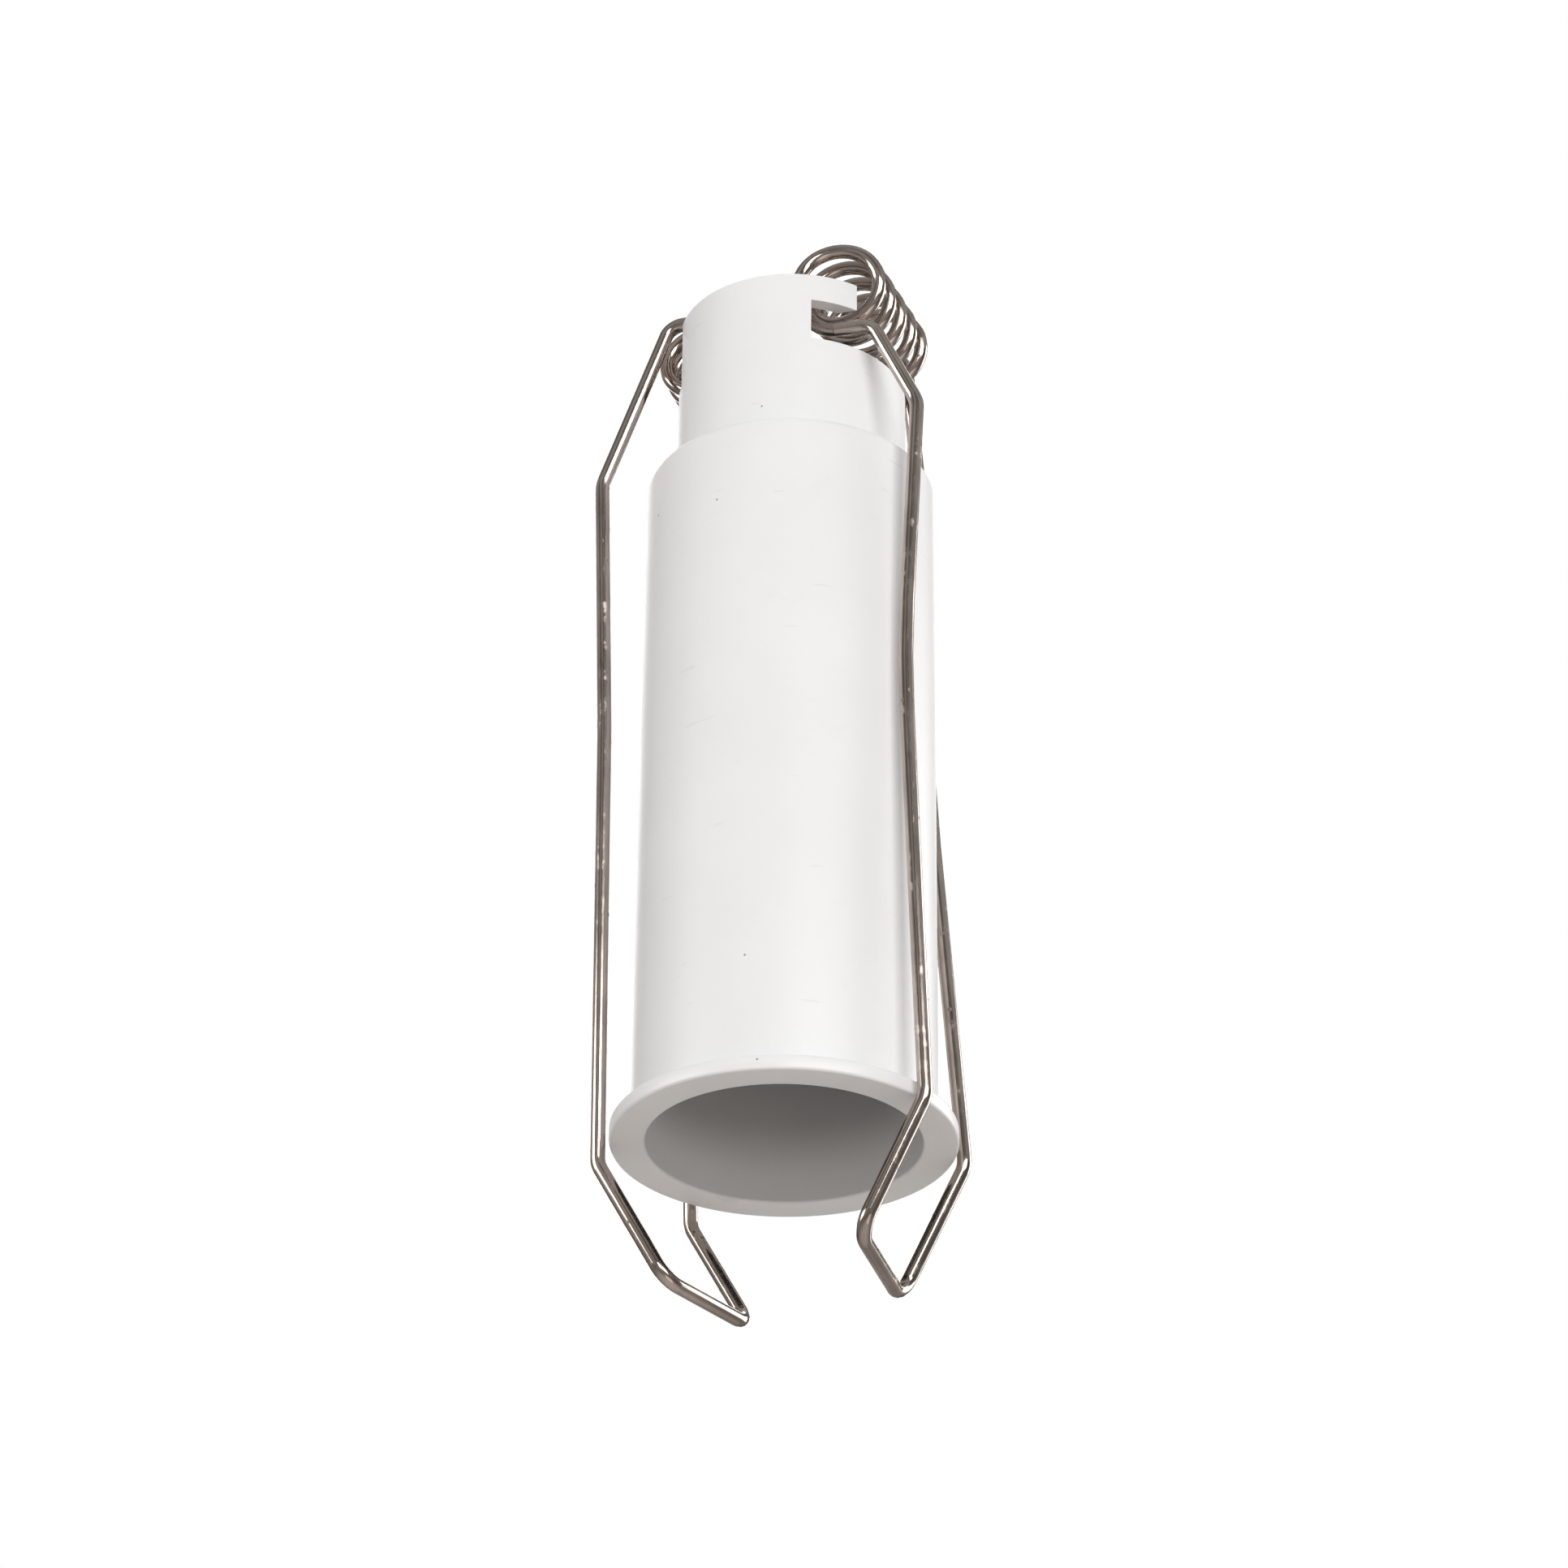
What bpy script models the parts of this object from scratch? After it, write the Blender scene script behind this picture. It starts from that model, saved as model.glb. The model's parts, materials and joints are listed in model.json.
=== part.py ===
"""Ceiling sleeve with two wire spring clips, in metres, +Z up.

A flanged tube hangs in a round ceiling hole. The origin is on the tube's axis, at the
flange's upper face, which bears on the ceiling from below. Each clip is one bent spring
wire: a long loop that reaches below the flange, and a coil that is threaded on a tongue
of the neck and winds up when the loop is swung outwards and up.
"""

import math

import bmesh
import bpy
from mathutils import Matrix, Vector

# Sleeve, turned about Z
BODY_RADIUS = 0.0150
BODY_LENGTH = 0.0737
FLANGE_WIDTH = 0.0020
FLANGE_THICKNESS = 0.0016
SHOULDER_WIDTH = 0.0030
NECK_LENGTH = 0.0197
WALL = 0.0015
EDGE = 0.0002
SHOULDER_ROUND = 0.0011
SHOULDER_ARC_STEPS = 4
SLEEVE_STEPS = 72

# Spring wire
WIRE_RADIUS = 0.00075
CLEARANCE = 0.0003
WIRE_RESOLUTION = 2

# Coil, seen along its axis with the outside of the sleeve to the right
COIL_RADIUS = 0.0041
COIL_SIDE_INSET = 0.0005
COIL_TURNS = 4.6
COIL_LEAD_TURNS = 0.5
LEAD_STRETCH_TURNS = 0.25
POINTS_PER_TURN = 18
TAIL_LEAN = 0.0012

# Notch in the neck, with an undercut below a tongue on one side
NOTCH_SIDE = 0.0078
NOTCH_DEPTH = 0.0080
TONGUE_HEIGHT = 0.0032
UNDERCUT_LENGTH = 0.0031
CUTTER_MARGIN = 0.003

# Clip loop; sides are measured along the chord
SLOT_INSET = 0.0004
BEND_RADIUS = 0.0022
KNEE_FILLET = 0.0040
SEAT_FILLET = 0.0030
FOOT_FILLET = 0.0024
BOW_FILLET = 0.1500
FILLET_STEP = math.radians(15)
FILLET_LEAST_STEPS = 2
FILLET_SHARE = 0.45

FLANGE_RADIUS = BODY_RADIUS + FLANGE_WIDTH
NECK_RADIUS = BODY_RADIUS - SHOULDER_WIDTH
RIM = BODY_LENGTH + NECK_LENGTH
NOTCH_FLOOR = RIM - NOTCH_DEPTH
BORE_RADIUS = BODY_RADIUS - WALL
NECK_BORE_RADIUS = NECK_RADIUS - WALL
COIL_START = NOTCH_SIDE - COIL_SIDE_INSET
SLOT_SIDE = NOTCH_SIDE + SLOT_INSET

# Each clip in its own frame: X outwards, Y along the chord with the undercut at -Y.
# coil_gap and slot_gap are between the wire and the notch's floor. Gaps of the slot bend and
# the hook are from the neck, and those of the knees and bows from the body. Drops are from
# the rim, seat and foot heights from the mouth. coil_end_gap is from the coil's end to the
# notch's far side, notch_end, and hook_inset is how far past that side the hook lies.
CLIPS = {
    "right_clip": {
        "turn": 0.0,
        "coil_gap": 0.0042,
        "coil_inset": 0.0050,
        "notch_end": 0.0078,
        "coil_end_gap": 0.00084,
        "coil_lean": 0.00037,
        "slot_gap": 0.00175,
        "bend_gap": 0.0008,
        "slot_knee": (0.0019, 0.0160),
        "slot_bow": (0.00065, 0.0465),
        "hook_gap": 0.0006,
        "hook_inset": 0.0006,
        "hook_rise": 0.0012,
        "hook_knee": (0.00015, 0.0108, 0.0190),
        "hook_bow": (0.00035, 0.0107, 0.0510),
        "seat_side": 0.0082,
        "seat_rise": -0.0003,
        "foot": (0.0096, 0.0080, 0.0136),
        "twists": (0.0, 0.0, 0.0),
    },
    "left_clip": {
        "turn": 180.0,
        "coil_gap": 0.00045,
        "coil_inset": 0.0032,
        "notch_end": 0.0056,
        "coil_end_gap": 0.0027,
        "coil_lean": 0.0001,
        "slot_gap": 0.00035,
        "bend_gap": 0.00115,
        "slot_knee": (0.0033, 0.0192),
        "slot_bow": (0.0026, 0.0465),
        "hook_gap": 0.0004,
        "hook_inset": -0.00105,
        "hook_rise": 0.0007,
        "hook_knee": (0.00405, 0.0083, 0.0192),
        "hook_bow": (0.0030, 0.0085, 0.0484),
        "seat_side": 0.0086,
        "seat_rise": -0.0019,
        "foot": (0.0089, 0.0068, 0.0143),
        "twists": (-8.0, -15.5, -20.5),
    },
}


def clear_scene():
    """Remove every object of the open scene."""
    for old in list(bpy.data.objects):
        bpy.data.objects.remove(old, do_unlink=True)


def new_collection(name):
    """Add a collection below the scene's own."""
    collection = bpy.data.collections.new(name)
    bpy.context.scene.collection.children.link(collection)
    return collection


def make_material(name, colour, metallic, roughness):
    """Return a Principled material."""
    material = bpy.data.materials.new(name)
    material.use_nodes = True
    shader = material.node_tree.nodes["Principled BSDF"]
    shader.inputs["Base Color"].default_value = (*colour, 1.0)
    shader.inputs["Metallic"].default_value = metallic
    shader.inputs["Roughness"].default_value = roughness
    return material


def sleeve_profile():
    """Return (radius, height) points: down the outside, across the mouth, up the bore."""
    mouth = -FLANGE_THICKNESS
    points = [(NECK_RADIUS - EDGE, RIM), (NECK_RADIUS, RIM - EDGE), (NECK_RADIUS, BODY_LENGTH)]
    centre = (BODY_RADIUS - SHOULDER_ROUND, BODY_LENGTH - SHOULDER_ROUND)
    for step in range(SHOULDER_ARC_STEPS + 1):
        angle = math.radians(90) * (1 - step / SHOULDER_ARC_STEPS)
        points.append((
            centre[0] + SHOULDER_ROUND * math.cos(angle),
            centre[1] + SHOULDER_ROUND * math.sin(angle),
        ))
    points += [
        (BODY_RADIUS, 0.0),
        (FLANGE_RADIUS - EDGE, 0.0),
        (FLANGE_RADIUS, -EDGE),
        (FLANGE_RADIUS, mouth + EDGE),
        (FLANGE_RADIUS - EDGE, mouth),
        (BORE_RADIUS + EDGE, mouth),
        (BORE_RADIUS, mouth + EDGE),
        (BORE_RADIUS, BODY_LENGTH - WALL),
        (NECK_BORE_RADIUS, BODY_LENGTH - WALL),
        (NECK_BORE_RADIUS, RIM),
    ]
    return points


def add_cutter(name, low, high, turn, collection):
    """Add a box between two corners, turned about Z, as a hidden cutter."""
    mesh = bpy.data.meshes.new(name)
    shape = bmesh.new()
    bmesh.ops.create_cube(shape, size=1.0)
    size = Vector(high) - Vector(low)
    middle = (Vector(high) + Vector(low)) / 2
    bmesh.ops.transform(shape, matrix=Matrix.Diagonal((*size, 1.0)), verts=shape.verts)
    bmesh.ops.translate(shape, vec=middle, verts=shape.verts)
    shape.to_mesh(mesh)
    shape.free()
    cutter = bpy.data.objects.new(name, mesh)
    cutter.rotation_euler.z = math.radians(turn)
    cutter.hide_render = True
    cutter.display_type = "WIRE"
    collection.objects.link(cutter)
    return cutter


def notch_cutters(name, clip, collection):
    """Return the open notch and the undercut that runs on below the tongue."""
    reach = NECK_RADIUS + CUTTER_MARGIN
    inner = CUTTER_MARGIN
    notch = add_cutter(
        f"{name}_notch",
        (inner, -NOTCH_SIDE, NOTCH_FLOOR),
        (reach, clip["notch_end"], RIM + CUTTER_MARGIN),
        clip["turn"],
        collection,
    )
    undercut = add_cutter(
        f"{name}_undercut",
        (inner, -NOTCH_SIDE - UNDERCUT_LENGTH, NOTCH_FLOOR),
        (reach, WIRE_RADIUS - NOTCH_SIDE, RIM - TONGUE_HEIGHT),
        clip["turn"],
        collection,
    )
    return [notch, undercut]


def make_sleeve(parts, cutters, material):
    """Turn the sleeve and cut a notch for each clip."""
    points = sleeve_profile()
    mesh = bpy.data.meshes.new("sleeve")
    ring = [(index, (index + 1) % len(points)) for index in range(len(points))]
    mesh.from_pydata([(radius, 0.0, height) for radius, height in points], ring, [])
    sleeve = bpy.data.objects.new("sleeve", mesh)
    parts.objects.link(sleeve)
    screw = sleeve.modifiers.new("turn", "SCREW")
    screw.steps = SLEEVE_STEPS
    screw.render_steps = SLEEVE_STEPS
    screw.use_merge_vertices = True
    screw.merge_threshold = 0.00001
    screw.use_smooth_shade = True
    for name, clip in CLIPS.items():
        for cutter in notch_cutters(name, clip, cutters):
            cut = sleeve.modifiers.new(cutter.name, "BOOLEAN")
            cut.operation = "DIFFERENCE"
            cut.object = cutter
    mesh.materials.append(material)
    return sleeve


def twisted(point, angle):
    """Turn a point about the sleeve's axis."""
    return Matrix.Rotation(math.radians(angle), 3, "Z") @ Vector(point)


def outside(radius, side):
    """Return the X at which a point at this chord offset lies on a circle about the axis."""
    return math.sqrt(radius**2 - side**2)


def beside(radius, gap, side):
    """Return the X at which the wire passes a round wall with this gap between them."""
    return outside(radius + WIRE_RADIUS + gap, side)


def coil_centre(clip, turns):
    """Return the coil's centre in X and Z, so many turns from the top of its first ring."""
    reach = NECK_RADIUS - clip["coil_inset"] + clip["coil_lean"] * turns
    return reach, NOTCH_FLOOR + clip["coil_gap"] + WIRE_RADIUS + COIL_RADIUS


def coil_pitch(clip):
    """Return the pitch with which the coil's turns fill their room in the notch."""
    return (COIL_START + clip["notch_end"] - clip["coil_end_gap"]) / COIL_TURNS


def slot_height(clip):
    """Return the height of the wire where it passes under the tongue."""
    return NOTCH_FLOOR + clip["slot_gap"] + WIRE_RADIUS


def coil_point(clip, turns):
    """Return a point on the coil: inside, top, outside and bottom, going back along Y."""
    reach, height = coil_centre(clip, turns)
    angle = math.radians(90) - math.tau * turns
    rise = COIL_RADIUS
    if turns < -LEAD_STRETCH_TURNS:
        rise = height - slot_height(clip)
    side = coil_pitch(clip) * turns - COIL_START
    return Vector((
        reach + COIL_RADIUS * math.cos(angle),
        max(side, -SLOT_SIDE),
        height + rise * math.sin(angle),
    ))


def coil_route(clip):
    """Return the coil's centre line, from under the tongue to its tail on the neck's wall."""
    first = -COIL_LEAD_TURNS
    count = round((COIL_TURNS - first) * POINTS_PER_TURN)
    route = [coil_point(clip, first + index / POINTS_PER_TURN) for index in range(count + 1)]
    last = route[-1]
    side = outside(NECK_BORE_RADIUS - WIRE_RADIUS - CLEARANCE, last.x - TAIL_LEAN)
    route.append(Vector((last.x - TAIL_LEAN, side, last.z)))
    return route


def loop_corners(clip):
    """Return the loop's corners and fillets, from the slot round the foot to the hook."""
    knee_twist, seat_twist, foot_twist = clip["twists"]
    bow_twist = (knee_twist + seat_twist) / 2
    slot = slot_height(clip)
    start = coil_point(clip, -COIL_LEAD_TURNS)
    bend_x = beside(NECK_RADIUS, clip["bend_gap"], SLOT_SIDE)
    knee_gap, knee_drop = clip["slot_knee"]
    knee_x = beside(BODY_RADIUS, knee_gap, SLOT_SIDE)
    bow_gap, bow_drop = clip["slot_bow"]
    bow_x = beside(BODY_RADIUS, bow_gap, SLOT_SIDE)
    seat_side = clip["seat_side"]
    seat_x = beside(FLANGE_RADIUS, CLEARANCE, seat_side)
    seat_z = clip["seat_rise"] - FLANGE_THICKNESS
    foot_x, foot_side, foot_drop = clip["foot"]
    foot_z = -FLANGE_THICKNESS - foot_drop
    hook_side = clip["notch_end"] + clip["hook_inset"]
    hook_end_x = NECK_RADIUS - clip["coil_inset"] + CLEARANCE
    hook_x = beside(NECK_RADIUS, clip["hook_gap"], hook_side)
    hook_z = RIM + clip["hook_rise"]
    hook_knee_gap, hook_knee_side, hook_knee_drop = clip["hook_knee"]
    hook_knee_x = beside(BODY_RADIUS, hook_knee_gap, hook_knee_side)
    hook_bow_gap, hook_bow_side, hook_bow_drop = clip["hook_bow"]
    hook_bow_x = beside(BODY_RADIUS, hook_bow_gap, hook_bow_side)
    return [
        ((start.x + CLEARANCE, start.y, slot), 0.0),
        ((bend_x, -SLOT_SIDE, slot), BEND_RADIUS),
        (twisted((knee_x, -SLOT_SIDE, RIM - knee_drop), knee_twist), KNEE_FILLET),
        (twisted((bow_x, -SLOT_SIDE, RIM - bow_drop), bow_twist), BOW_FILLET),
        (twisted((seat_x, -seat_side, seat_z), seat_twist), SEAT_FILLET),
        (twisted((foot_x, -foot_side, foot_z), foot_twist), FOOT_FILLET),
        (twisted((foot_x, foot_side, foot_z), foot_twist), FOOT_FILLET),
        (twisted((seat_x, seat_side, seat_z), seat_twist), SEAT_FILLET),
        (twisted((hook_bow_x, hook_bow_side, RIM - hook_bow_drop), bow_twist), BOW_FILLET),
        (twisted((hook_knee_x, hook_knee_side, RIM - hook_knee_drop), knee_twist), KNEE_FILLET),
        ((hook_x, hook_side, hook_z), BEND_RADIUS),
        ((hook_end_x, hook_side, hook_z), 0.0),
    ]


def filleted(corners):
    """Return the route through the corners, with each corner rounded to its radius."""
    spots = [Vector(point) for point, radius in corners]
    route = [spots[0]]
    for index in range(1, len(spots) - 1):
        back = spots[index - 1] - spots[index]
        ahead = spots[index + 1] - spots[index]
        bend = math.pi - back.angle(ahead)
        room = FILLET_SHARE * min(back.length, ahead.length)
        setback = min(corners[index][1] * math.tan(bend / 2), room)
        radius = setback / math.tan(bend / 2)
        middle = (back.normalized() + ahead.normalized()).normalized()
        centre = spots[index] + middle * (radius / math.cos(bend / 2))
        first = spots[index] + back.normalized() * setback - centre
        axis = back.cross(ahead)
        steps = max(FILLET_LEAST_STEPS, math.ceil(bend / FILLET_STEP))
        for step in range(steps + 1):
            turn = Matrix.Rotation(-bend * step / steps, 3, axis)
            route.append(centre + turn @ first)
    route.append(spots[-1])
    return route


def make_wire(name, route, origin, turn, parts, material):
    """Sweep the spring wire along a route given about an origin, turned about Z."""
    curve = bpy.data.curves.new(name, "CURVE")
    curve.dimensions = "3D"
    curve.bevel_depth = WIRE_RADIUS
    curve.bevel_resolution = WIRE_RESOLUTION
    curve.use_fill_caps = True
    curve.twist_mode = "MINIMUM"
    spline = curve.splines.new("POLY")
    spline.points.add(len(route) - 1)
    for point, spot in zip(spline.points, route):
        point.co = (*(spot - origin), 1.0)
    spline.use_smooth = True
    curve.materials.append(material)
    wire = bpy.data.objects.new(name, curve)
    wire.rotation_euler.z = math.radians(turn)
    wire.location = Matrix.Rotation(math.radians(turn), 3, "Z") @ origin
    parts.objects.link(wire)
    return wire


def make_clip(name, clip, parts, material):
    """Make one clip, its loop and coil both placed on the axis that the loop swings about."""
    reach, height = coil_centre(clip, 0.0)
    pivot = Vector((reach, 0.0, height))
    make_wire(f"{name}_loop", filleted(loop_corners(clip)), pivot, clip["turn"], parts, material)
    make_wire(f"{name}_coil", coil_route(clip), pivot, clip["turn"], parts, material)


def main():
    """Build the ceiling sleeve and its two clips."""
    clear_scene()
    parts = new_collection("ceiling_sleeve")
    cutters = new_collection("cutters")
    white = make_material("white_enamel", (0.86, 0.86, 0.85), 0.0, 0.35)
    steel = make_material("spring_steel", (0.62, 0.58, 0.54), 1.0, 0.25)
    make_sleeve(parts, cutters, white)
    for name, clip in CLIPS.items():
        make_clip(name, clip, parts, steel)


main()
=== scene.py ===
"""Looks for a recessed ceiling sleeve that two long wire torsion springs hold in its hole."""

import json
import math

import bpy
from mathutils import Matrix, Vector


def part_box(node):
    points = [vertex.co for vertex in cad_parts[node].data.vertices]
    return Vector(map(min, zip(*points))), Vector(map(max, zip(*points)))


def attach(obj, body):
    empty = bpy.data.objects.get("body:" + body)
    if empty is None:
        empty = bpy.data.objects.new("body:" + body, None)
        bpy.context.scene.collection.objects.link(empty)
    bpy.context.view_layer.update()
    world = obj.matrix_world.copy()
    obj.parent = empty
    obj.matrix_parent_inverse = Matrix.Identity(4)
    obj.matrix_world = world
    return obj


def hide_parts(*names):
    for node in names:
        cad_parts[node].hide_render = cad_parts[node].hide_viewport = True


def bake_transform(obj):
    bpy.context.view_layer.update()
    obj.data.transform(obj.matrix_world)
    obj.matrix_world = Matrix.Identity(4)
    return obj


bl_info = {
    "name": "Ceiling Sleeve Maker",
    "version": (1, 0, 0),
    "blender": (4, 5, 0),
    "location": "3D View > Sidebar > Ceiling Sleeve",
    "description": "Models a flanged ceiling sleeve, its two spring clips and a small studio",
    "category": "Add Mesh",
}

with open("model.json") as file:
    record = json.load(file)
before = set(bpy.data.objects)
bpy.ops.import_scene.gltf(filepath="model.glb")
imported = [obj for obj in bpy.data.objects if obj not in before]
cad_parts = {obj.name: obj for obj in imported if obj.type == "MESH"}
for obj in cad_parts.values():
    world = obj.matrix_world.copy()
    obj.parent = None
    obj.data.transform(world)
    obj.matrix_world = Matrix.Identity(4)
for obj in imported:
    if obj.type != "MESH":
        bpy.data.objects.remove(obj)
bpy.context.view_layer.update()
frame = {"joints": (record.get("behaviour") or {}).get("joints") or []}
SLEEVE_LOW, SLEEVE_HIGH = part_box("sleeve")
PIVOTS = {joint["child"]: Vector(joint["pos_m"]) for joint in frame["joints"]}

# Each clip in its own frame: X outwards, Y along the chord, undercut and slot leg at -Y.
# Gaps are from the wire to the notch's floor, the neck (bend, hook) or the body (knees, bows).
# Knees and bows give the gap, the side and the drop from the rim; seat and foot the mouth's.
CLIPS = {
    "right_clip": {
        "turn": 0.0,
        "notch_end": 0.0078,
        "coil_end_gap": 0.00084,
        "coil_lean": 0.00037,
        "slot_gap": 0.00175,
        "bend_gap": 0.0008,
        "slot_knee": (0.0019, 0.0160),
        "slot_bow": (0.00065, 0.0465),
        "hook": (0.0006, 0.0006, 0.0012),
        "hook_knee": (0.00015, 0.0108, 0.0190),
        "hook_bow": (0.00035, 0.0107, 0.0510),
        "seat": (0.0082, -0.0003),
        "foot": (0.0096, 0.0080, -0.0136),
        "twists": (0.0, 0.0, 0.0),
    },
    "left_clip": {
        "turn": 180.0,
        "notch_end": 0.0056,
        "coil_end_gap": 0.0027,
        "coil_lean": 0.0001,
        "slot_gap": 0.00035,
        "bend_gap": 0.00115,
        "slot_knee": (0.0033, 0.0192),
        "slot_bow": (0.0026, 0.0465),
        "hook": (0.0004, -0.00105, 0.0007),
        "hook_knee": (0.00405, 0.0083, 0.0192),
        "hook_bow": (0.0030, 0.0085, 0.0484),
        "seat": (0.0086, -0.0019),
        "foot": (0.0089, 0.0068, -0.0143),
        "twists": (-8.0, -15.5, -20.5),
    },
}


# ---------------------------------------------------------------- sizes and colours


class SleeveSettings(bpy.types.PropertyGroup):
    """Sizes and finish of the turned sleeve."""

    body_radius: bpy.props.FloatProperty(
        name="Body radius", description="Outer radius of the tube", default=0.015, unit="LENGTH")
    body_length: bpy.props.FloatProperty(
        name="Body length", description="From the flange to the shoulder", default=0.0737,
        unit="LENGTH")
    neck_radius: bpy.props.FloatProperty(
        name="Neck radius", description="Outer radius of the neck", default=0.012, unit="LENGTH")
    wall: bpy.props.FloatProperty(
        name="Wall", description="Thickness of the tube's and the neck's wall", default=0.0015,
        unit="LENGTH")
    shoulder_round: bpy.props.FloatProperty(
        name="Shoulder round", description="Radius of the shoulder's outer edge", default=0.0011,
        unit="LENGTH")
    lip: bpy.props.FloatProperty(
        name="Lip", description="Width of the rounded edge around the mouth", default=0.0003,
        unit="LENGTH")
    edge: bpy.props.FloatProperty(
        name="Edge", description="Width of the softening on every other edge", default=0.00007,
        precision=5, unit="LENGTH")
    segments: bpy.props.IntProperty(
        name="Segments", description="Faces around the tube", default=252)
    colour: bpy.props.FloatVectorProperty(
        name="Colour", description="White of the moulding", subtype="COLOR", size=3,
        default=(0.874, 0.877, 0.882))
    roughness: bpy.props.FloatProperty(
        name="Roughness", description="Satin of the moulding", default=0.40, subtype="FACTOR")


class NotchSettings(bpy.types.PropertyGroup):
    """Sizes of the L-shaped notch that holds a coil."""

    side: bpy.props.FloatProperty(
        name="Side", description="From the middle to the tongue", default=0.0078,
        unit="LENGTH")
    depth: bpy.props.FloatProperty(
        name="Depth", description="From the rim to the notch's floor", default=0.0080,
        unit="LENGTH")
    tongue: bpy.props.FloatProperty(
        name="Tongue", description="Height of the tongue over the undercut", default=0.0032,
        unit="LENGTH")
    undercut: bpy.props.FloatProperty(
        name="Undercut", description="How far the slot runs on below the tongue",
        default=0.0031, unit="LENGTH")
    margin: bpy.props.FloatProperty(
        name="Margin", description="How far the cut runs past the wall", default=0.003,
        unit="LENGTH")


class WireSettings(bpy.types.PropertyGroup):
    """Sizes and finish of the spring wire."""

    radius: bpy.props.FloatProperty(
        name="Wire radius", description="Half the wire's thickness", default=0.00075,
        precision=5, unit="LENGTH")
    clearance: bpy.props.FloatProperty(
        name="Clearance", description="Gap to what the wire lies against", default=0.0003,
        precision=5, unit="LENGTH")
    coil_radius: bpy.props.FloatProperty(
        name="Coil radius", description="Radius of the coil's centre line", default=0.0041,
        unit="LENGTH")
    coil_turns: bpy.props.FloatProperty(
        name="Coil turns", description="Turns after the top of the first ring", default=4.6)
    slot_inset: bpy.props.FloatProperty(
        name="Slot inset", description="How far below the tongue the wire passes",
        default=0.0004, precision=5, unit="LENGTH")
    coil_inset: bpy.props.FloatProperty(
        name="Coil inset", description="From the notch's side to the first ring's top",
        default=0.0005, precision=5, unit="LENGTH")
    tail_lean: bpy.props.FloatProperty(
        name="Tail lean", description="How far the coil's tail turns inwards",
        default=0.0012, unit="LENGTH")
    sides: bpy.props.IntProperty(
        name="Sides", description="Bevel steps on a quarter of the wire", default=6)
    colour: bpy.props.FloatVectorProperty(
        name="Colour", description="Bright nickel of the wire", subtype="COLOR", size=3,
        default=(0.475, 0.41, 0.37))
    roughness: bpy.props.FloatProperty(
        name="Roughness", description="Polish of the wire", default=0.13, subtype="FACTOR")


class BendSettings(bpy.types.PropertyGroup):
    """Radii of the wire's bends."""

    hook: bpy.props.FloatProperty(
        name="Hook", description="Bend at the top of a leg", default=0.0022, unit="LENGTH")
    knee: bpy.props.FloatProperty(
        name="Knee", description="Bend beside the shoulder", default=0.0040, unit="LENGTH")
    bow: bpy.props.FloatProperty(
        name="Bow", description="Slight bow of a leg", default=0.150, unit="LENGTH")
    seat: bpy.props.FloatProperty(
        name="Seat", description="Bend beside the flange", default=0.0030, unit="LENGTH")
    foot: bpy.props.FloatProperty(
        name="Foot", description="Bends at the foot", default=0.0024, unit="LENGTH")
    step: bpy.props.FloatProperty(
        name="Step", description="Angle between the points on a bend",
        default=math.radians(4), subtype="ANGLE")


class StudioSettings(bpy.types.PropertyGroup):
    """Camera, floor and lights."""

    heading: bpy.props.FloatProperty(
        name="Heading", description="Direction that the camera faces, from +Y",
        default=math.radians(15.43), subtype="ANGLE")
    pitch: bpy.props.FloatProperty(
        name="Pitch", description="How far the camera looks up", default=math.radians(29.53),
        subtype="ANGLE")
    roll: bpy.props.FloatProperty(
        name="Roll", description="Tilt of the camera about its view", precision=4,
        default=math.radians(0.644), subtype="ANGLE")
    camera: bpy.props.FloatVectorProperty(
        name="Camera", description="Place of the camera", subtype="TRANSLATION", size=3,
        default=(0.10845, -0.3944, -0.1930))
    lens: bpy.props.FloatProperty(
        name="Lens", description="Focal length in millimetres", default=106.6)
    floor_height: bpy.props.FloatProperty(
        name="Floor height", description="Height of the floor", default=-1.5, unit="LENGTH")
    floor_size: bpy.props.FloatProperty(
        name="Floor size", description="Width of the floor", default=8.0, unit="LENGTH")
    floor_colour: bpy.props.FloatVectorProperty(
        name="Floor colour", description="Warm pale floor", subtype="COLOR", size=3,
        default=(0.74, 0.705, 0.675))
    ambient: bpy.props.FloatProperty(
        name="Ambient", description="Strength of the studio's grey surroundings", default=0.50)


SETTINGS = {
    "sleeve_settings": SleeveSettings,
    "notch_settings": NotchSettings,
    "wire_settings": WireSettings,
    "bend_settings": BendSettings,
    "studio_settings": StudioSettings,
}


# ---------------------------------------------------------------- modelling helpers


def select_only(piece):
    """Leaves edit mode, drops every selection and makes one piece active."""
    if bpy.context.object and bpy.context.object.mode != "OBJECT":
        bpy.ops.object.mode_set(mode="OBJECT")
    bpy.ops.object.select_all(action="DESELECT")
    if piece:
        piece.select_set(True)
        bpy.context.view_layer.objects.active = piece


def pick_edges(piece, test):
    """Opens a piece in edit mode with only the edges whose two ends pass a test selected."""
    select_only(piece)
    bpy.ops.object.mode_set(mode="EDIT")
    bpy.ops.mesh.select_mode(type="EDGE")
    bpy.ops.mesh.select_all(action="DESELECT")
    bpy.ops.object.mode_set(mode="OBJECT")
    corners = piece.data.vertices
    found = 0
    for edge in piece.data.edges:
        edge.select = all(test(corners[index].co) for index in edge.vertices)
        found += edge.select
    if not found:
        raise RuntimeError(f"{piece.name}: no edge was found to work on")
    bpy.ops.object.mode_set(mode="EDIT")


def pick_ring(piece, radius, height):
    """Selects the edges of one turned ring."""
    slack = 0.00001  # metres
    pick_edges(piece, lambda spot: abs(math.hypot(spot.x, spot.y) - radius) < slack
               and abs(spot.z - height) < slack)


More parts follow.
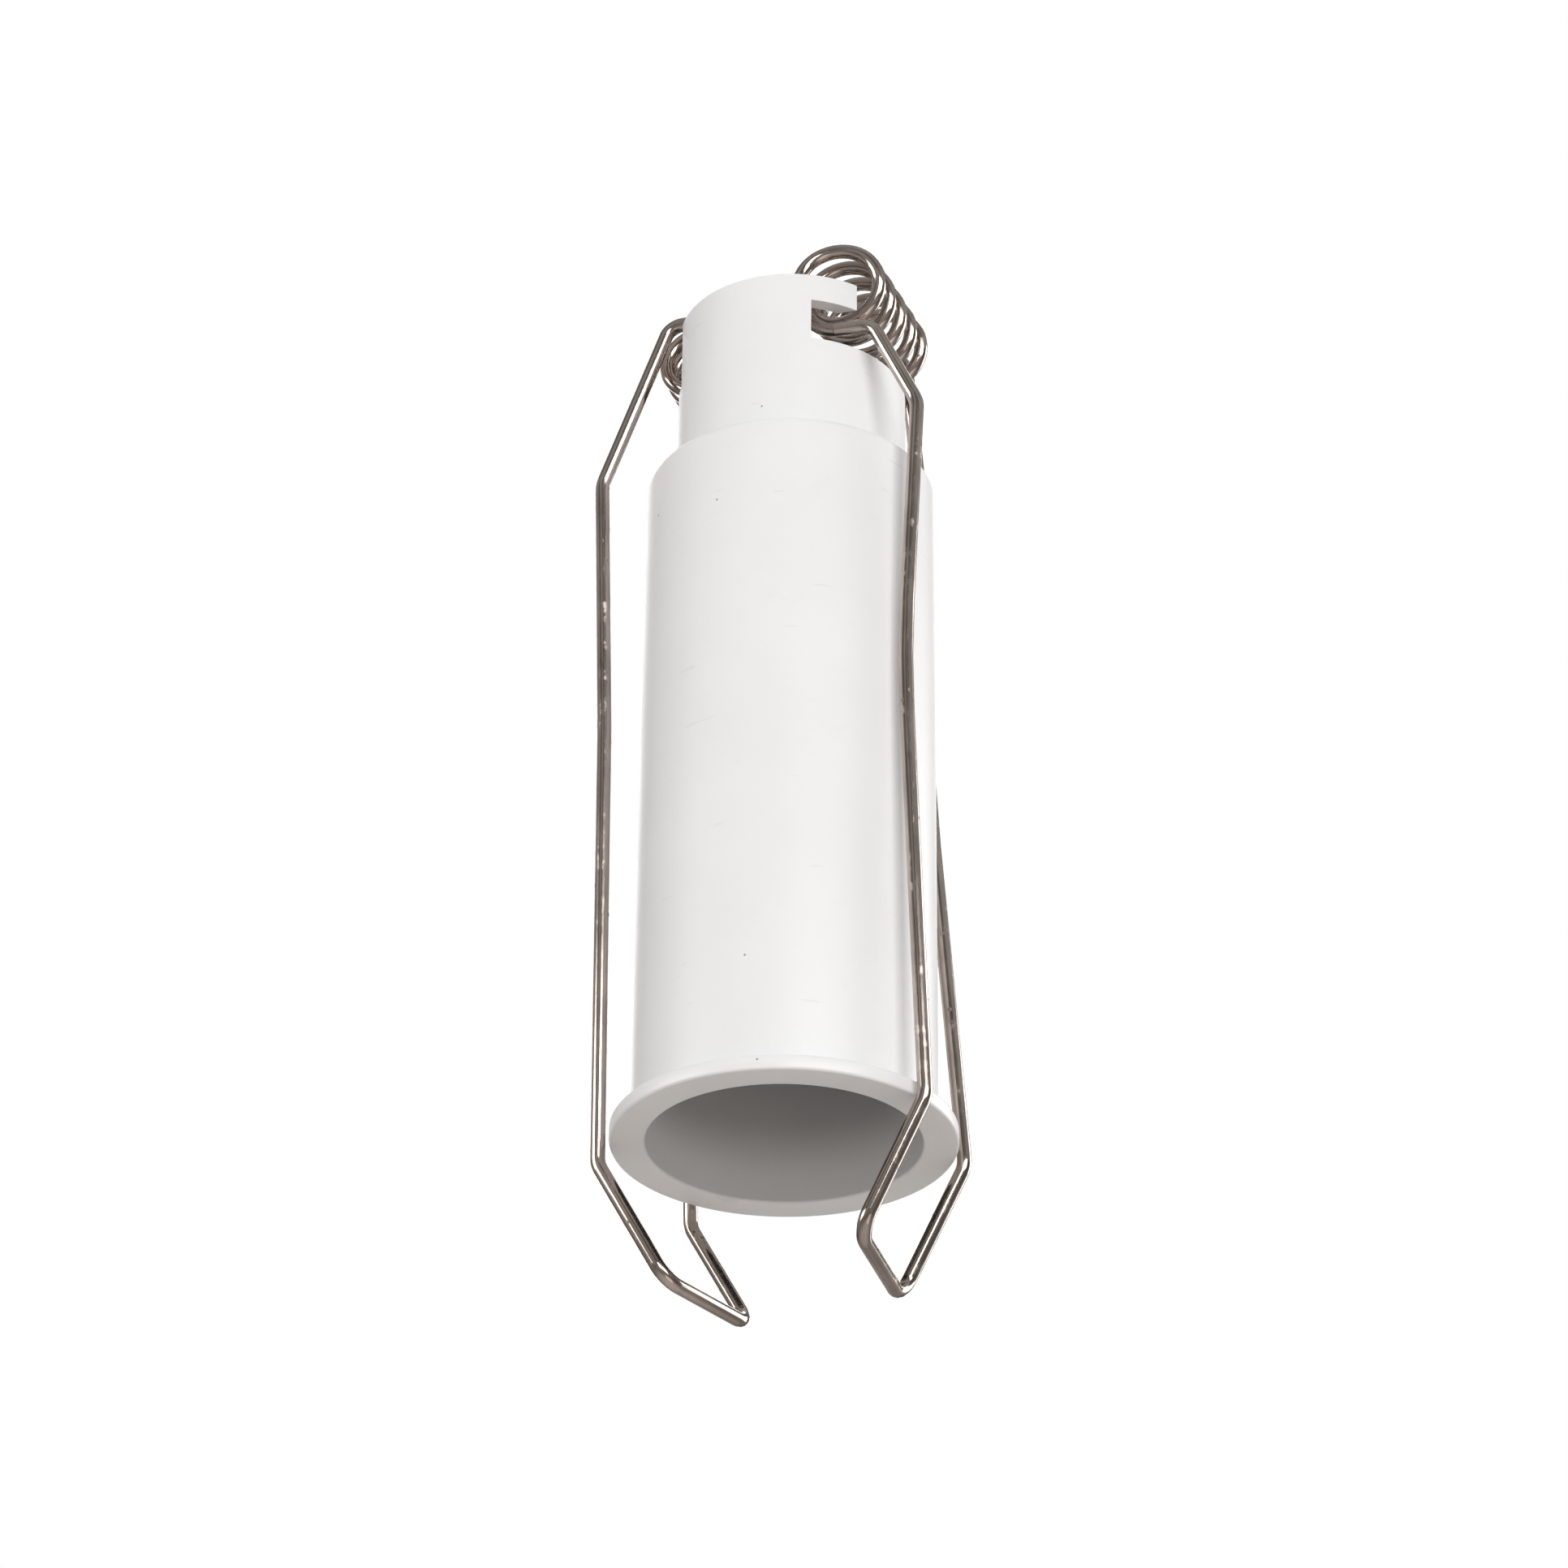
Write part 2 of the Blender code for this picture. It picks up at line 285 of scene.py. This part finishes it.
def round_picked(width, segments):
    """Bevels the edges that are selected."""
    bpy.ops.mesh.bevel(offset=width, offset_type="OFFSET", segments=segments, affect="EDGES")
    bpy.ops.object.mode_set(mode="OBJECT")


def apply_modifier(piece, kind, **settings):
    """Adds a modifier with these settings and applies it."""
    select_only(piece)
    bpy.ops.object.modifier_add(type=kind)
    modifier = piece.modifiers[-1]
    for name, value in settings.items():
        setattr(modifier, name, value)
    bpy.ops.object.modifier_apply(modifier=modifier.name)


def hand_over(piece, name, material, node):
    """Names a finished piece, gives it its material and hides the CAD node that it stands for."""
    piece.name = name
    piece.data.name = name
    piece.data.materials.clear()
    piece.data.materials.append(material)
    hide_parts(node)


def turned(point, angle):
    """Turns a point about the sleeve's axis, by an angle in degrees."""
    return Matrix.Rotation(math.radians(angle), 3, "Z") @ Vector(point)


# ---------------------------------------------------------------- shader helpers


class Socket:
    """A shader socket that Python's operators can reckon with."""

    def __init__(self, shader, source):
        self.shader = shader
        self.source = source

    def reckon(self, operation, *values):
        """Adds one Math node."""
        return self.shader.node(
            "ShaderNodeMath", {"operation": operation}, dict(enumerate(values)))

    def __add__(self, other):
        return self.reckon("ADD", self, other)

    __radd__ = __add__

    def __sub__(self, other):
        return self.reckon("SUBTRACT", self, other)

    def __rsub__(self, other):
        return self.reckon("SUBTRACT", other, self)

    def __mul__(self, other):
        return self.reckon("MULTIPLY", self, other)

    __rmul__ = __mul__

    def __lt__(self, other):
        return self.reckon("LESS_THAN", self, other)

    def smooth(self, start, end):
        """Goes from 0 at start to 1 at end."""
        return self.shader.node(
            "ShaderNodeMapRange", {"interpolation_type": "SMOOTHSTEP"},
            {"Value": self, "From Min": start, "From Max": end})


class Shader:
    """Builds the nodes of one material, or of the world."""

    def __init__(self, owner):
        owner.use_nodes = True
        self.tree = owner.node_tree
        self.tree.nodes.clear()

    def node(self, kind, settings=None, sockets=None, output=0):
        """Adds a node with its settings and the values or links of its sockets."""
        made = self.tree.nodes.new(kind)
        for name, value in (settings or {}).items():
            setattr(made, name, value)
        for name, value in (sockets or {}).items():
            if isinstance(value, Socket):
                self.tree.links.new(value.source, made.inputs[name])
            else:
                made.inputs[name].default_value = value
        return Socket(self, made.outputs[output]) if made.outputs else None

    def noise(self, place, scale, detail=2.0, roughness=0.5):
        """Soft random clouds, so many to the metre."""
        return self.node("ShaderNodeTexNoise", {"noise_dimensions": "3D"}, {
            "Vector": place, "Scale": scale, "Detail": detail, "Roughness": roughness})

    def stretched(self, place, scale):
        """A place with each of its parts made larger or smaller."""
        return self.node("ShaderNodeVectorMath", {"operation": "MULTIPLY"}, {0: place, 1: scale})

    def height(self, place):
        """How high a place is."""
        return self.node("ShaderNodeSeparateXYZ", {}, {0: place}, output=2)

    def mix(self, factor, first, second):
        """Mixes two colours."""
        return self.node("ShaderNodeMix", {"data_type": "RGBA"}, {0: factor, 6: first, 7: second},
                         output=2)

    def specks(self, place, scale, size, share):
        """Round specks in a few of the cells of a random pattern."""
        cell = {"Vector": place, "Scale": scale}
        middle = self.node("ShaderNodeTexVoronoi", {"feature": "F1"}, cell)
        chance = self.node("ShaderNodeSeparateColor", {}, {0: self.node(
            "ShaderNodeTexVoronoi", {"feature": "F1"}, cell, output=1)})
        return (1 - middle.smooth(size * 0.5, size)) * (chance < share)


def opaque(colour):
    """A colour with its alpha."""
    return (*colour, 1.0)


def shaded(colour, share):
    """A darker or lighter shade of a colour."""
    return opaque([min(1.0, part * share) for part in colour])


def from_axis(shader, place):
    """How far a place is from the sleeve's axis."""
    flat = shader.stretched(place, (1.0, 1.0, 0.0))
    return shader.node("ShaderNodeVectorMath", {"operation": "LENGTH"}, {0: flat}, output=1)


def white_satin(sleeve):
    """White satin moulding with faint clouding, a fine skin, dust, a few dark specks and painted
    shade that greys the bore further up.
    """
    material = bpy.data.materials.new("white_satin")
    shader = Shader(material)
    place = shader.node("ShaderNodeTexCoord", output=3)
    clouds = shader.noise(place, 70.0, 3.0)
    skin = shader.noise(place, 2600.0, 2.0)
    grime = shader.noise(place, 260.0, 4.0, 0.62)
    dots = shader.specks(place, 520.0, 0.085, 0.05)
    height = shader.height(place)
    # Painted shade: from 2 mm to 9.5 mm above the mouth the bore's white is painted over with
    # grey, standing in for the shade deep inside it.
    inside = from_axis(shader, place) < (sleeve.body_radius - sleeve.wall + sleeve.edge)
    inside = inside * (height < sleeve.body_length)
    painted_bore_shade = height.smooth(SLEEVE_LOW.z + 0.0020, SLEEVE_LOW.z + 0.0095) * inside
    pits = shader.specks(place, 1500.0, 0.30, 0.10)
    hairs = shader.noise(shader.stretched(place, (1.0, 1.0, 9.0)), 190.0, 2.0).smooth(0.70, 0.76)
    white = shader.mix(clouds.smooth(0.35, 0.70), shaded(sleeve.colour, 0.975),
                       opaque(sleeve.colour))
    white = shader.mix(grime.smooth(0.60, 0.80) * 0.30, white, shaded(sleeve.colour, 0.90))
    white = shader.mix(hairs * 0.30, white, shaded(sleeve.colour, 0.80))
    white = shader.mix(dots * 0.75, white, opaque((0.20, 0.17, 0.15)))
    white = shader.mix(painted_bore_shade * 0.90, white, opaque((0.46, 0.465, 0.47)))
    roughness = (clouds * 0.10 + grime * 0.08 + pits * 0.06 + hairs * 0.12
                 + (sleeve.roughness - 0.09))
    bump = shader.node("ShaderNodeBump", {}, {
        "Strength": 0.35, "Distance": 0.00002, "Height": skin * 0.7 + grime * 0.3 + dots * 0.8})
    surface = shader.node("ShaderNodeBsdfPrincipled", {}, {
        "Base Color": white, "Roughness": roughness, "Metallic": 0.0, "IOR": 1.49,
        "Coat Weight": 0.12, "Coat Roughness": 0.22, "Normal": bump})
    shader.node("ShaderNodeOutputMaterial", {}, {"Surface": surface})
    return material


def nickel_wire(wire):
    """Bright nickelled wire with drawing lines along it, scuffs, specks and near-black dashes
    painted along it for the dark reflected lines beside its highlights.
    """
    material = bpy.data.materials.new("nickel_wire")
    shader = Shader(material)
    place = shader.node("ShaderNodeAttribute", {"attribute_name": GRAIN}, output=1)
    lines = shader.noise(shader.stretched(place, (0.08, 1.0, 1.0)), 3200.0, 2.0, 0.6)
    painted_reflection_dashes = shader.noise(shader.stretched(place, (0.10, 1.0, 1.0)), 2300.0, 3.0, 0.6)
    tone = shader.noise(shader.stretched(place, (0.25, 1.0, 1.0)), 620.0, 3.0)
    scuffs = shader.noise(shader.stretched(place, (0.4, 0.5, 0.5)), 1500.0, 2.0, 0.6)
    dots = shader.specks(place, 900.0, 0.26, 0.10)
    metal = shader.mix(tone.smooth(0.30, 0.72), shaded(wire.colour, 0.82),
                       shaded(wire.colour, 1.14))
    metal = shader.mix(lines.smooth(0.52, 0.75) * 0.35, metal, shaded(wire.colour, 0.55))
    # Painted reflection: near-black dashes along the wire stand in for the dark reflected lines
    # beside its highlights; the same dashes also dent the bump below.
    metal = shader.mix(painted_reflection_dashes.smooth(0.63, 0.72) * 0.40, metal, opaque((0.055, 0.045, 0.040)))
    metal = shader.mix(dots * 0.70, metal, opaque((0.10, 0.075, 0.060)))
    roughness = (lines * 0.08 + scuffs.smooth(0.55, 0.80) * 0.20 + dots * 0.3
                 + (wire.roughness - 0.04))
    bump = shader.node("ShaderNodeBump", {}, {
        "Strength": 0.30, "Distance": 0.00001,
        "Height": lines * 0.8 - painted_reflection_dashes.smooth(0.60, 0.74) * 0.5 + scuffs * 0.2})
    surface = shader.node("ShaderNodeBsdfPrincipled", {}, {
        "Base Color": metal, "Roughness": roughness, "Metallic": 1.0, "Normal": bump})
    shader.node("ShaderNodeOutputMaterial", {}, {"Surface": surface})
    return material


# ---------------------------------------------------------------- the sleeve


def turn_sleeve(sleeve):
    """Draws the sleeve's profile ring by ring from a circle and closes it up the bore."""
    rim, mouth, flange_radius = SLEEVE_HIGH.z, SLEEVE_LOW.z, SLEEVE_HIGH.x
    bore_radius = sleeve.body_radius - sleeve.wall
    neck_bore = sleeve.neck_radius - sleeve.wall
    ceiling = sleeve.body_length - sleeve.wall
    rings = [
        (sleeve.neck_radius, rim),
        (sleeve.neck_radius, sleeve.body_length),
        (sleeve.body_radius, sleeve.body_length),
        (sleeve.body_radius, 0.0),
        (flange_radius, 0.0),
        (flange_radius, mouth),
        (bore_radius, mouth),
        (bore_radius, ceiling),
        (neck_bore, ceiling),
        (neck_bore, rim),
    ]
    select_only(None)
    bpy.ops.mesh.primitive_circle_add(
        vertices=sleeve.segments, radius=sleeve.neck_radius, fill_type="NOTHING",
        location=(0.0, 0.0, rim))
    piece = bpy.context.object
    bpy.ops.object.transform_apply(location=True, rotation=True, scale=True)
    bpy.ops.object.mode_set(mode="EDIT")
    bpy.ops.mesh.select_mode(type="EDGE")
    bpy.ops.mesh.select_all(action="SELECT")
    for (radius, height), (next_radius, next_height) in zip(rings, rings[1:]):
        bpy.ops.mesh.extrude_region_move(
            TRANSFORM_OT_translate={"value": (0.0, 0.0, next_height - height)})
        share = next_radius / radius
        if share != 1.0:
            bpy.ops.transform.resize(
                value=(share, share, 1.0), center_override=(0.0, 0.0, next_height))
    bpy.ops.mesh.select_all(action="DESELECT")
    bpy.ops.mesh.select_non_manifold()
    bpy.ops.mesh.bridge_edge_loops()
    bpy.ops.mesh.select_all(action="SELECT")
    bpy.ops.mesh.normals_make_consistent(inside=False)
    pick_ring(piece, sleeve.body_radius, sleeve.body_length)
    round_picked(sleeve.shoulder_round, 8)
    for radius, height in ((flange_radius, 0.0), (flange_radius, mouth), (bore_radius, mouth)):
        pick_ring(piece, radius, height)
        round_picked(sleeve.lip, 4)
    return piece


def cut_box(piece, low, high, turn):
    """Cuts a box between two corners, turned about the sleeve's axis, out of a piece."""
    low, high = Vector(low), Vector(high)
    select_only(None)
    bpy.ops.mesh.primitive_cube_add(
        size=1.0, location=turned((low + high) / 2, turn), scale=high - low,
        rotation=(0.0, 0.0, math.radians(turn)))
    cutter = bpy.context.object
    apply_modifier(piece, "BOOLEAN", operation="DIFFERENCE", solver="EXACT", object=cutter)
    select_only(cutter)
    bpy.ops.object.delete()


class SLEEVE_OT_shell(bpy.types.Operator):
    """Model the flanged tube, its neck and the two notches"""

    bl_idname = "ceiling_sleeve.shell"
    bl_label = "Sleeve"

    def execute(self, context):
        sleeve = context.scene.sleeve_settings
        notch = context.scene.notch_settings
        wire = context.scene.wire_settings
        rim = SLEEVE_HIGH.z
        floor = rim - notch.depth
        reach = sleeve.neck_radius + notch.margin
        piece = turn_sleeve(sleeve)
        for clip in CLIPS.values():
            cut_box(piece, (notch.margin, -notch.side, floor),
                    (reach, clip["notch_end"], rim + notch.margin), clip["turn"])
            cut_box(piece, (notch.margin, -notch.side - notch.undercut, floor),
                    (reach, wire.radius - notch.side, rim - notch.tongue), clip["turn"])
        select_only(piece)
        bpy.ops.object.shade_smooth_by_angle(angle=math.radians(35))
        apply_modifier(piece, "BEVEL", width=sleeve.edge, segments=3, limit_method="ANGLE",
                       angle_limit=math.radians(40), use_clamp_overlap=False,
                       harden_normals=True)
        hand_over(piece, "sleeve_shell", white_satin(sleeve), "sleeve")
        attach(piece, "sleeve_body")
        return {"FINISHED"}


# ---------------------------------------------------------------- the spring clips

GRAIN = "grain"
COIL_STEPS = 48  # points on each turn
LEAD_TURNS = 0.5  # turns before the top of the first ring
STRETCHED_TURNS = 0.25  # further out than this, the lead reaches down to the slot
BEND_SHARE = 0.45  # the largest share of a straight stretch that one bend takes


class Clip:
    """The centre lines of one clip's wire."""

    def __init__(self, name, scene):
        self.sizes = CLIPS[name]
        self.wire = scene.wire_settings
        self.bends = scene.bend_settings
        self.sleeve = scene.sleeve_settings
        self.notch = scene.notch_settings
        self.rim = SLEEVE_HIGH.z
        self.mouth = SLEEVE_LOW.z
        self.reach = abs(PIVOTS[name].x)
        self.height = PIVOTS[name].z
        self.side = self.notch.side + self.wire.slot_inset
        self.slot = self.rim - self.notch.depth + self.sizes["slot_gap"] + self.wire.radius

    def coil_point(self, turns):
        """A point on the coil: inside, top, outside and bottom, going back along Y."""
        angle = math.pi / 2 - math.tau * turns
        radius = self.wire.coil_radius
        rise = radius
        if turns < -STRETCHED_TURNS:
            rise = self.height - self.slot
        start = self.notch.side - self.wire.coil_inset
        end = self.sizes["notch_end"] - self.sizes["coil_end_gap"]
        pitch = (start + end) / self.wire.coil_turns
        return Vector((
            self.reach + self.sizes["coil_lean"] * turns + radius * math.cos(angle),
            max(pitch * turns - start, -self.side),
            self.height + rise * math.sin(angle),
        ))

    def coil_line(self):
        """The coil from below the tongue to its tail on the neck's wall."""
        count = round((self.wire.coil_turns + LEAD_TURNS) * COIL_STEPS)
        line = [self.coil_point(index / COIL_STEPS - LEAD_TURNS) for index in range(count + 1)]
        end = line[-1]
        inside = self.sleeve.neck_radius - self.sleeve.wall - self.wire.radius
        tail = end.x - self.wire.tail_lean
        side = math.sqrt((inside - self.wire.clearance) ** 2 - tail**2)
        line.append(Vector((tail, side, end.z)))
        return line

    def beside(self, radius, gap, side):
        """How far out the wire passes a round wall with this gap between them."""
        return math.sqrt((radius + self.wire.radius + gap) ** 2 - side**2)

    def beside_body(self, gap, side, drop, twist):
        """A corner beside the body, so far down from the rim, turned about the axis."""
        reach = self.beside(self.sleeve.body_radius, gap, abs(side))
        return turned((reach, side, self.rim - drop), twist)

    def corners(self):
        """The loop's corners with the radius of each bend, from the slot to the hook."""
        sizes, bends, side, sleeve = self.sizes, self.bends, self.side, self.sleeve
        knee_twist, seat_twist, foot_twist = sizes["twists"]
        bow_twist = (knee_twist + seat_twist) / 2
        bend_x = self.beside(sleeve.neck_radius, sizes["bend_gap"], side)
        knee_gap, knee_drop = sizes["slot_knee"]
        bow_gap, bow_drop = sizes["slot_bow"]
        seat_side, seat_rise = sizes["seat"]
        seat_x = self.beside(SLEEVE_HIGH.x, self.wire.clearance, seat_side)
        seat_z = self.mouth + seat_rise
        foot_x, foot_side, foot_rise = sizes["foot"]
        foot_z = self.mouth + foot_rise
        hook_gap, hook_inset, hook_rise = sizes["hook"]
        hook_side = sizes["notch_end"] + hook_inset
        hook_x = self.beside(sleeve.neck_radius, hook_gap, hook_side)
        hook_z = self.rim + hook_rise
        return [
            (self.coil_point(-LEAD_TURNS), 0.0),
            (Vector((bend_x, -side, self.slot)), bends.hook),
            (self.beside_body(knee_gap, -side, knee_drop, knee_twist), bends.knee),
            (self.beside_body(bow_gap, -side, bow_drop, bow_twist), bends.bow),
            (turned((seat_x, -seat_side, seat_z), seat_twist), bends.seat),
            (turned((foot_x, -foot_side, foot_z), foot_twist), bends.foot),
            (turned((foot_x, foot_side, foot_z), foot_twist), bends.foot),
            (turned((seat_x, seat_side, seat_z), seat_twist), bends.seat),
            (self.beside_body(*sizes["hook_bow"], bow_twist), bends.bow),
            (self.beside_body(*sizes["hook_knee"], knee_twist), bends.knee),
            (Vector((hook_x, hook_side, hook_z)), bends.hook),
            (Vector((self.reach + self.wire.clearance, hook_side, hook_z)), 0.0),
        ]

    def loop_line(self):
        """The loop's line, with each corner rounded to its radius."""
        corners = self.corners()
        spots = [spot for spot, radius in corners]
        line = [spots[0]]
        for index in range(1, len(spots) - 1):
            back = spots[index - 1] - spots[index]
            ahead = spots[index + 1] - spots[index]
            bend = math.pi - back.angle(ahead)
            room = BEND_SHARE * min(back.length, ahead.length)
            setback = min(corners[index][1] * math.tan(bend / 2), room)
            radius = setback / math.tan(bend / 2)
            middle = (back.normalized() + ahead.normalized()).normalized()
            centre = spots[index] + middle * (radius / math.cos(bend / 2))
            arm = spots[index] + back.normalized() * setback - centre
            steps = max(2, math.ceil(bend / self.bends.step))
            for step in range(steps + 1):
                turn = Matrix.Rotation(-bend * step / steps, 3, back.cross(ahead))
                line.append(centre + turn @ arm)
        line.append(spots[-1])
        return line


def note_grain(piece, line, sides, radius):
    """Stores where each point lies along and around the wire, in metres."""
    along = [0.0]
    for spot, following in zip(line, line[1:]):
        along.append(along[-1] + (following - spot).length)
    grain = piece.data.attributes.new(GRAIN, "FLOAT_VECTOR", "POINT")
    for index, entry in enumerate(grain.data):
        angle = math.tau * (index % sides) / sides
        entry.vector = (along[index // sides], radius * math.cos(angle),
                        radius * math.sin(angle))


def draw_wire(line, turn, wire):
    """Sweeps the wire along a line, closes its two ends and rounds the free one."""
    select_only(None)
    bpy.ops.curve.primitive_nurbs_path_add(location=(0.0, 0.0, 0.0))
    piece = bpy.context.object
    curve = piece.data
    curve.splines.clear()
    spline = curve.splines.new("POLY")
    spline.points.add(len(line) - 1)
    for point, spot in zip(spline.points, line):
        point.co = opaque(turned(spot, turn))
    curve.twist_mode = "MINIMUM"
    curve.bevel_depth = wire.radius
    curve.bevel_resolution = wire.sides
    select_only(piece)
    bpy.ops.object.convert(target="MESH")
    piece = bpy.context.object
    sides = len(piece.data.vertices) // len(line)
    if sides * len(line) != len(piece.data.vertices):
        raise RuntimeError("the swept wire has uneven rings")
    note_grain(piece, line, sides, wire.radius)
    bpy.ops.object.mode_set(mode="EDIT")
    bpy.ops.mesh.select_mode(type="EDGE")
    bpy.ops.mesh.select_all(action="DESELECT")
    bpy.ops.mesh.select_non_manifold()
    bpy.ops.mesh.fill_holes(sides=0)
    bpy.ops.mesh.select_all(action="SELECT")
    bpy.ops.mesh.normals_make_consistent(inside=False)
    end = turned(line[-1], turn)
    pick_edges(piece, lambda spot: (spot - end).length < wire.radius * 1.01)
    round_picked(wire.radius * 0.3, 3)
    select_only(piece)
    bpy.ops.object.shade_smooth_by_angle(angle=math.radians(50))
    return piece


def wire_material(wire):
    """The wire's material, made once."""
    return bpy.data.materials.get("nickel_wire") or nickel_wire(wire)


class SLEEVE_OT_loops(bpy.types.Operator):
    """Bend the long loop of each clip, from below the tongue round the foot to its hook"""

    bl_idname = "ceiling_sleeve.loops"
    bl_label = "Clip loops"

    def execute(self, context):
        wire = context.scene.wire_settings
        for name, clip in CLIPS.items():
            line = Clip(name, context.scene).loop_line()
            piece = draw_wire(line, clip["turn"], wire)
            hand_over(piece, f"{name}_wire", wire_material(wire), f"{name}_loop")
            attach(piece, name)
        return {"FINISHED"}


class SLEEVE_OT_windings(bpy.types.Operator):
    """Wind the coil of each clip as a fixed piece, though the real coil turns with its loop at
    one end and stays at the other
    """

    bl_idname = "ceiling_sleeve.windings"
    bl_label = "Clip windings"

    def execute(self, context):
        wire = context.scene.wire_settings
        for name, clip in CLIPS.items():
            clip_lines = Clip(name, context.scene)
            line = clip_lines.coil_line()
            piece = draw_wire(line, clip["turn"], wire)
            hand_over(piece, f"{name}_winding", wire_material(wire), f"{name}_coil")
            loose = wire.radius - clip_lines.side
            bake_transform(piece)
        return {"FINISHED"}


# ---------------------------------------------------------------- the studio


LIGHT_TARGET = Vector((0.0, 0.0, 0.045))
SOFTBOX_DISTANCE = 2.0
# Degrees round from the front, degrees up, width and height, power and colour.
SOFTBOXES = {
    "front_softbox": (25.0, 15.0, (1.70, 0.72), 26.8, (0.985, 0.995, 1.0)),
    "side_softbox": (118.0, 14.0, (1.30, 1.20), 17.5, (1.0, 0.995, 0.99)),
    "left_softbox": (-70.0, 12.0, (1.20, 0.80), 14.0, (1.0, 0.995, 0.99)),
    "low_softbox": (35.0, -40.0, (1.20, 1.20), 3.3, (1.0, 0.89, 0.81)),
    "back_softbox": (184.0, 32.0, (1.30, 1.30), 13.0, (1.0, 0.995, 0.99)),
}


def aim(thing, place, target):
    """Puts a light or camera at a place and points it at a target."""
    thing.location = place
    thing.rotation_mode = "QUATERNION"
    thing.rotation_quaternion = (target - place).to_track_quat("-Z", "Y")


def add_softbox(name, front, heading, height, size, power, colour):
    """Adds a soft rectangular light that the camera doesn't see, turned from the front."""
    select_only(None)
    bpy.ops.object.light_add(type="AREA")
    lamp = bpy.context.object
    lamp.name = name
    lamp.data.shape = "RECTANGLE"
    lamp.data.size, lamp.data.size_y = size
    lamp.data.energy = power
    lamp.data.color = colour
    lamp.visible_camera = False
    heading, height = front + math.radians(heading), math.radians(height)
    rise = math.sin(height) * SOFTBOX_DISTANCE
    run = math.cos(height) * SOFTBOX_DISTANCE
    away = Vector((math.sin(heading) * run, -math.cos(heading) * run, rise))
    aim(lamp, LIGHT_TARGET + away, LIGHT_TARGET)


def light_world(studio):
    """White behind the object, and a mottled grey room around it for its reflections."""
    world = bpy.data.worlds.new("studio")
    bpy.context.scene.world = world
    shader = Shader(world)
    place = shader.node("ShaderNodeTexCoord", output=0)
    height = shader.height(place)
    patches = shader.noise(place, 1.6, 1.0)
    room = shader.mix(height.smooth(-0.9, 0.9), opaque((0.62, 0.56, 0.52)),
                      opaque((0.90, 0.89, 0.88)))
    room = shader.mix(patches.smooth(0.42, 0.60) * 0.75, room, opaque((0.16, 0.145, 0.135)))
    grey = shader.node("ShaderNodeBackground", {}, {0: room, 1: studio.ambient})
    white = shader.node("ShaderNodeBackground", {}, {0: opaque((1.0, 1.0, 1.0)), 1: 1.0})
    seen = shader.node("ShaderNodeLightPath")
    both = shader.node("ShaderNodeMixShader", {}, {0: seen, 1: grey, 2: white})
    shader.node("ShaderNodeOutputWorld", {}, {"Surface": both})


def lay_floor(studio):
    """Adds the plain pale floor, far below."""
    select_only(None)
    bpy.ops.mesh.primitive_plane_add(size=studio.floor_size)
    floor = bpy.context.object
    bpy.ops.transform.translate(value=(0.0, 0.0, studio.floor_height))
    bpy.ops.object.transform_apply(location=True)
    floor.name = "studio_floor"
    material = bpy.data.materials.new("pale_floor")
    shader = Shader(material)
    place = shader.node("ShaderNodeTexCoord", output=3)
    tone = shader.noise(place, 3.0, 2.0)
    pale = shader.mix(tone, shaded(studio.floor_colour, 0.98), opaque(studio.floor_colour))
    surface = shader.node("ShaderNodeBsdfPrincipled", {}, {
        "Base Color": pale, "Roughness": 0.7})
    shader.node("ShaderNodeOutputMaterial", {}, {"Surface": surface})
    floor.data.materials.append(material)


class SLEEVE_OT_studio(bpy.types.Operator):
    """Set the camera, the floor and the soft lights"""

    bl_idname = "ceiling_sleeve.studio"
    bl_label = "Studio"

    def execute(self, context):
        studio = context.scene.studio_settings
        lay_floor(studio)
        light_world(studio)
        for name, settings in SOFTBOXES.items():
            add_softbox(name, studio.heading, *settings)
        select_only(None)
        bpy.ops.object.camera_add()
        camera = context.object
        camera.location = studio.camera
        turn = Matrix.Rotation(studio.heading, 3, "Z")
        look = Matrix.Rotation(math.pi / 2 + studio.pitch, 3, "X")
        tilt = Matrix.Rotation(studio.roll, 3, "Z")
        camera.rotation_mode = "QUATERNION"
        camera.rotation_quaternion = (turn @ look @ tilt).to_quaternion()
        camera.data.lens = studio.lens
        camera.data.sensor_width = 36.0
        camera.data.clip_start = 0.01
        context.scene.camera = camera
        context.scene.view_settings.view_transform = "Standard"
        return {"FINISHED"}


# ---------------------------------------------------------------- panel and running

OPERATORS = [SLEEVE_OT_studio, SLEEVE_OT_shell, SLEEVE_OT_loops, SLEEVE_OT_windings]


class SLEEVE_PT_panel(bpy.types.Panel):
    """Buttons and sizes of the ceiling sleeve"""

    bl_label = "Ceiling Sleeve"
    bl_idname = "SLEEVE_PT_panel"
    bl_space_type = "VIEW_3D"
    bl_region_type = "UI"
    bl_category = "Ceiling Sleeve"

    def draw(self, context):
        for operator in OPERATORS:
            self.layout.operator(operator.bl_idname)
        for name, group in SETTINGS.items():
            box = self.layout.box()
            box.label(text=name.replace("_", " ").capitalize())
            for field in group.__annotations__:
                box.prop(getattr(context.scene, name), field)


CLASSES = [*SETTINGS.values(), *OPERATORS, SLEEVE_PT_panel]


def register():
    for kind in CLASSES:
        bpy.utils.register_class(kind)
    for name, group in SETTINGS.items():
        setattr(bpy.types.Scene, name, bpy.props.PointerProperty(type=group))


def unregister():
    for name in SETTINGS:
        delattr(bpy.types.Scene, name)
    for kind in reversed(CLASSES):
        bpy.utils.unregister_class(kind)


def main():
    """Makes the studio and every piece."""
    register()
    bpy.ops.ceiling_sleeve.studio()
    bpy.ops.ceiling_sleeve.shell()
    bpy.ops.ceiling_sleeve.loops()
    bpy.ops.ceiling_sleeve.windings()


if __name__ == "__main__":
    main()
